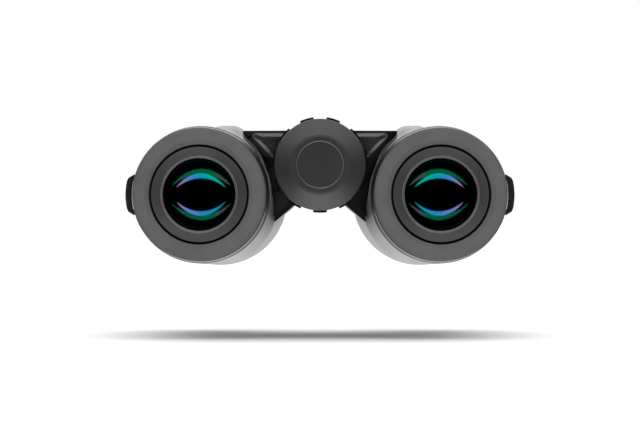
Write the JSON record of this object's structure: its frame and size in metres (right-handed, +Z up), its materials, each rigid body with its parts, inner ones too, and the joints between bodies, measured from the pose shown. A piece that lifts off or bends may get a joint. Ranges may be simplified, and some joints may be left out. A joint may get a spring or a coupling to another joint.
{
  "type": "binoculars",
  "caption": "Compact roof-prism binoculars in rubber armour, with a folding hinge bridge, a central focus wheel, twist-up eyecups, a dioptre ring and strap lugs.",
  "frame": {"origin": "bottom centre of the bounding box: on the plane the barrels rest on, under the middle of the length", "axes": "+Y along the optical axes from the eyepieces to the objectives, +Z up, +X to the user's right"},
  "size_m": [0.1148, 0.122, 0.0436],
  "materials": {
    "magnesium": "black powder paint on cast magnesium",
    "armour_rubber": "moulded black-grey armour, fine grain",
    "eyecup_rubber": "soft matt rubber",
    "wheel_rubber": "matt rubber with raised blocks",
    "seal_rubber": "matt",
    "wheel_metal": "fine matt coating",
    "wheel_disc": "matt, bare",
    "collar_plastic": "moulded, satin",
    "bezel": "black anodised funnel with a bright bevel",
    "plastic": "moulded",
    "anodised": "black anodised",
    "steel": "ground",
    "brass": "turned",
    "eye_glass": "coated, green to violet reflections",
    "objective_glass": "coated, green to violet reflections",
    "inner_glass": "polished"
  },
  "bodies": {
    "left_tube": {"left_tube_chassis": "magnesium", "left_armour": "armour_rubber", "left_strap_lug": "plastic", "left_objective_cell": "anodised", "left_objective_lens": "objective_glass", "left_objective_retainer": "anodised", "left_objective_seal": "seal_rubber", "left_prism_cage": "anodised", "left_prism_screws": "steel", "left_roof_prism": "inner_glass", "left_half_penta_prism": "inner_glass", "left_ocular_tube": "anodised", "left_ocular_cell": "anodised", "left_eye_lens": "eye_glass", "left_field_lens": "inner_glass", "left_eye_bezel": "bezel", "left_collar": "collar_plastic", "hinge_axle": "steel", "axle_lock_screws": "steel", "tripod_insert": "brass"},
    "right_tube": {"right_tube_chassis": "magnesium", "right_armour": "armour_rubber", "right_strap_lug": "plastic", "right_objective_cell": "anodised", "right_objective_lens": "objective_glass", "right_objective_retainer": "anodised", "right_objective_seal": "seal_rubber", "right_prism_cage": "anodised", "right_prism_screws": "steel", "right_roof_prism": "inner_glass", "right_half_penta_prism": "inner_glass", "right_ocular_tube": "anodised", "hinge_bush_rear": "brass", "hinge_bush_front": "brass"},
    "focus_wheel": {"focus_wheel_core": "wheel_metal", "focus_wheel_grip": "wheel_rubber", "focus_wheel_disc": "wheel_disc", "focus_screw": "steel"},
    "focus_drive": {"focus_nut": "brass", "focus_drive_collar": "brass", "focus_drive_pins": "steel"},
    "left_focus_group": {"left_focus_carriage": "anodised", "left_focus_lens": "inner_glass"},
    "right_focus_group": {"right_focus_carriage": "anodised", "right_focus_lens": "inner_glass"},
    "dioptre": {"dioptre_ring": "collar_plastic"},
    "right_ocular": {"right_ocular_cell": "anodised", "right_eye_lens": "eye_glass", "right_field_lens": "inner_glass", "right_eye_bezel": "bezel"},
    "left_eyecup_twist": {"left_eyecup_guide": "plastic"},
    "left_eyecup": {"left_eyecup_sleeve": "plastic", "left_eyecup_rubber": "eyecup_rubber"},
    "right_eyecup_twist": {"right_eyecup_guide": "plastic"},
    "right_eyecup": {"right_eyecup_sleeve": "plastic", "right_eyecup_rubber": "eyecup_rubber"}
  },
  "joints": [
    {"name": "bridge_hinge", "type": "hinge", "parent": "left_tube", "child": "right_tube", "pos_m": [0, 0, 0.03], "axis": [0, 1, 0], "range_deg": [-20, 50]},
    {"name": "focus_wheel_turn", "type": "hinge", "parent": "left_tube", "child": "focus_wheel", "pos_m": [0, -0.0423, 0.03], "axis": [0, 1, 0], "range_deg": [-270, 270]},
    {"name": "focus_drive_slide", "type": "slide", "parent": "left_tube", "child": "focus_drive", "axis": [0, 1, 0], "range_m": [-0.003, 0.003]},
    {"name": "left_focus_slide", "type": "slide", "parent": "left_tube", "child": "left_focus_group", "axis": [0, 1, 0], "range_m": [-0.003, 0.003]},
    {"name": "right_focus_slide", "type": "slide", "parent": "right_tube", "child": "right_focus_group", "axis": [0, 1, 0], "range_m": [-0.003, 0.003]},
    {"name": "dioptre_turn", "type": "hinge", "parent": "right_tube", "child": "dioptre", "pos_m": [0.035, -0.0418, 0.0213], "axis": [0, 1, 0], "range_deg": [-45, 45]},
    {"name": "right_ocular_slide", "type": "slide", "parent": "right_tube", "child": "right_ocular", "axis": [0, 1, 0], "range_m": [-0.001, 0.001]},
    {"name": "left_eyecup_turn", "type": "hinge", "parent": "left_tube", "child": "left_eyecup_twist", "pos_m": [-0.035, -0.0475, 0.0213], "axis": [0, -1, 0], "range_deg": [0, 120]},
    {"name": "left_eyecup_lift", "type": "slide", "parent": "left_eyecup_twist", "child": "left_eyecup", "axis": [0, -1, 0], "range_m": [0, 0.009]},
    {"name": "right_eyecup_turn", "type": "hinge", "parent": "right_tube", "child": "right_eyecup_twist", "pos_m": [0.035, -0.0475, 0.0213], "axis": [0, -1, 0], "range_deg": [0, 120]},
    {"name": "right_eyecup_lift", "type": "slide", "parent": "right_eyecup_twist", "child": "right_eyecup", "axis": [0, -1, 0], "range_m": [0, 0.009]}
  ],
  "couplings": [
    {"joint": "focus_drive_slide", "follows": "focus_wheel_turn", "m_per_rad": 0.0006365},
    {"joint": "left_focus_slide", "follows": "focus_wheel_turn", "m_per_rad": 0.0006365},
    {"joint": "right_focus_slide", "follows": "focus_wheel_turn", "m_per_rad": 0.0006365},
    {"joint": "dioptre_turn", "follows": "right_ocular_slide", "rad_per_m": 785.3},
    {"joint": "left_eyecup_lift", "follows": "left_eyecup_turn", "m_per_rad": 0.004296},
    {"joint": "right_eyecup_lift", "follows": "right_eyecup_turn", "m_per_rad": 0.004296}
  ]
}
